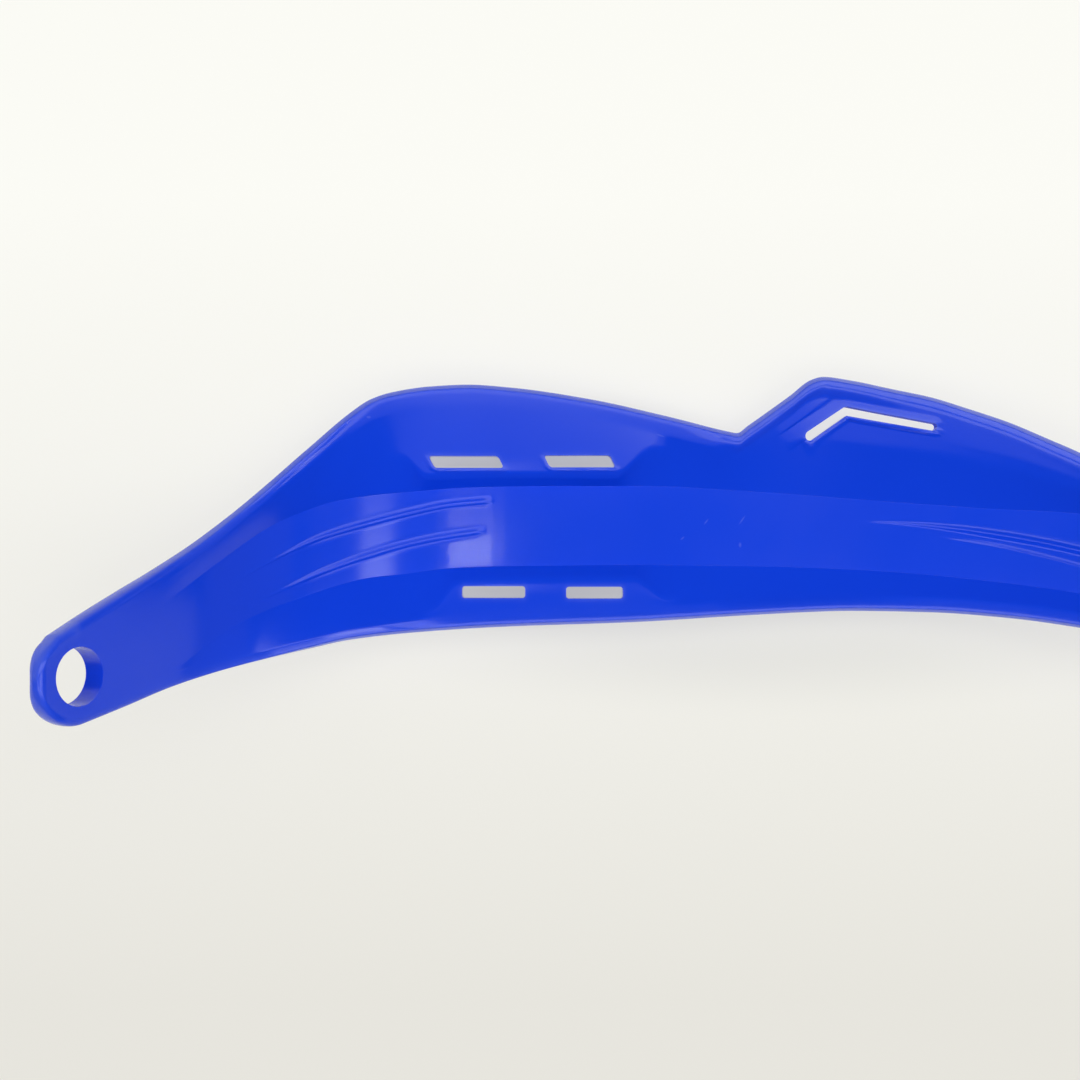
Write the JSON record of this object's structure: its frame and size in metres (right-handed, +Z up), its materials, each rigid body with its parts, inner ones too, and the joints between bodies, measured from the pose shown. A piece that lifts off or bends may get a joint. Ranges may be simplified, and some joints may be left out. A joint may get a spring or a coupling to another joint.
{
  "type": "motorcycle hand guard shell",
  "caption": "Left-hand wrap-around hand guard shell with a bar-end bore, a bar channel, vent slots, ribs and swept wings.",
  "frame": {"origin": "centre of the bar-end bore, on the face of the shell that looks at the rider", "axes": "+X inboard along the span, +Y forward away from the rider, +Z up, as fitted on the left end of a handlebar"},
  "size_m": [0.3816, 0.0939, 0.1097],
  "materials": {
    "guard_plastic": "satin gloss"
  },
  "bodies": {
    "root": {"guard_shell": "guard_plastic"}
  },
  "joints": []
}
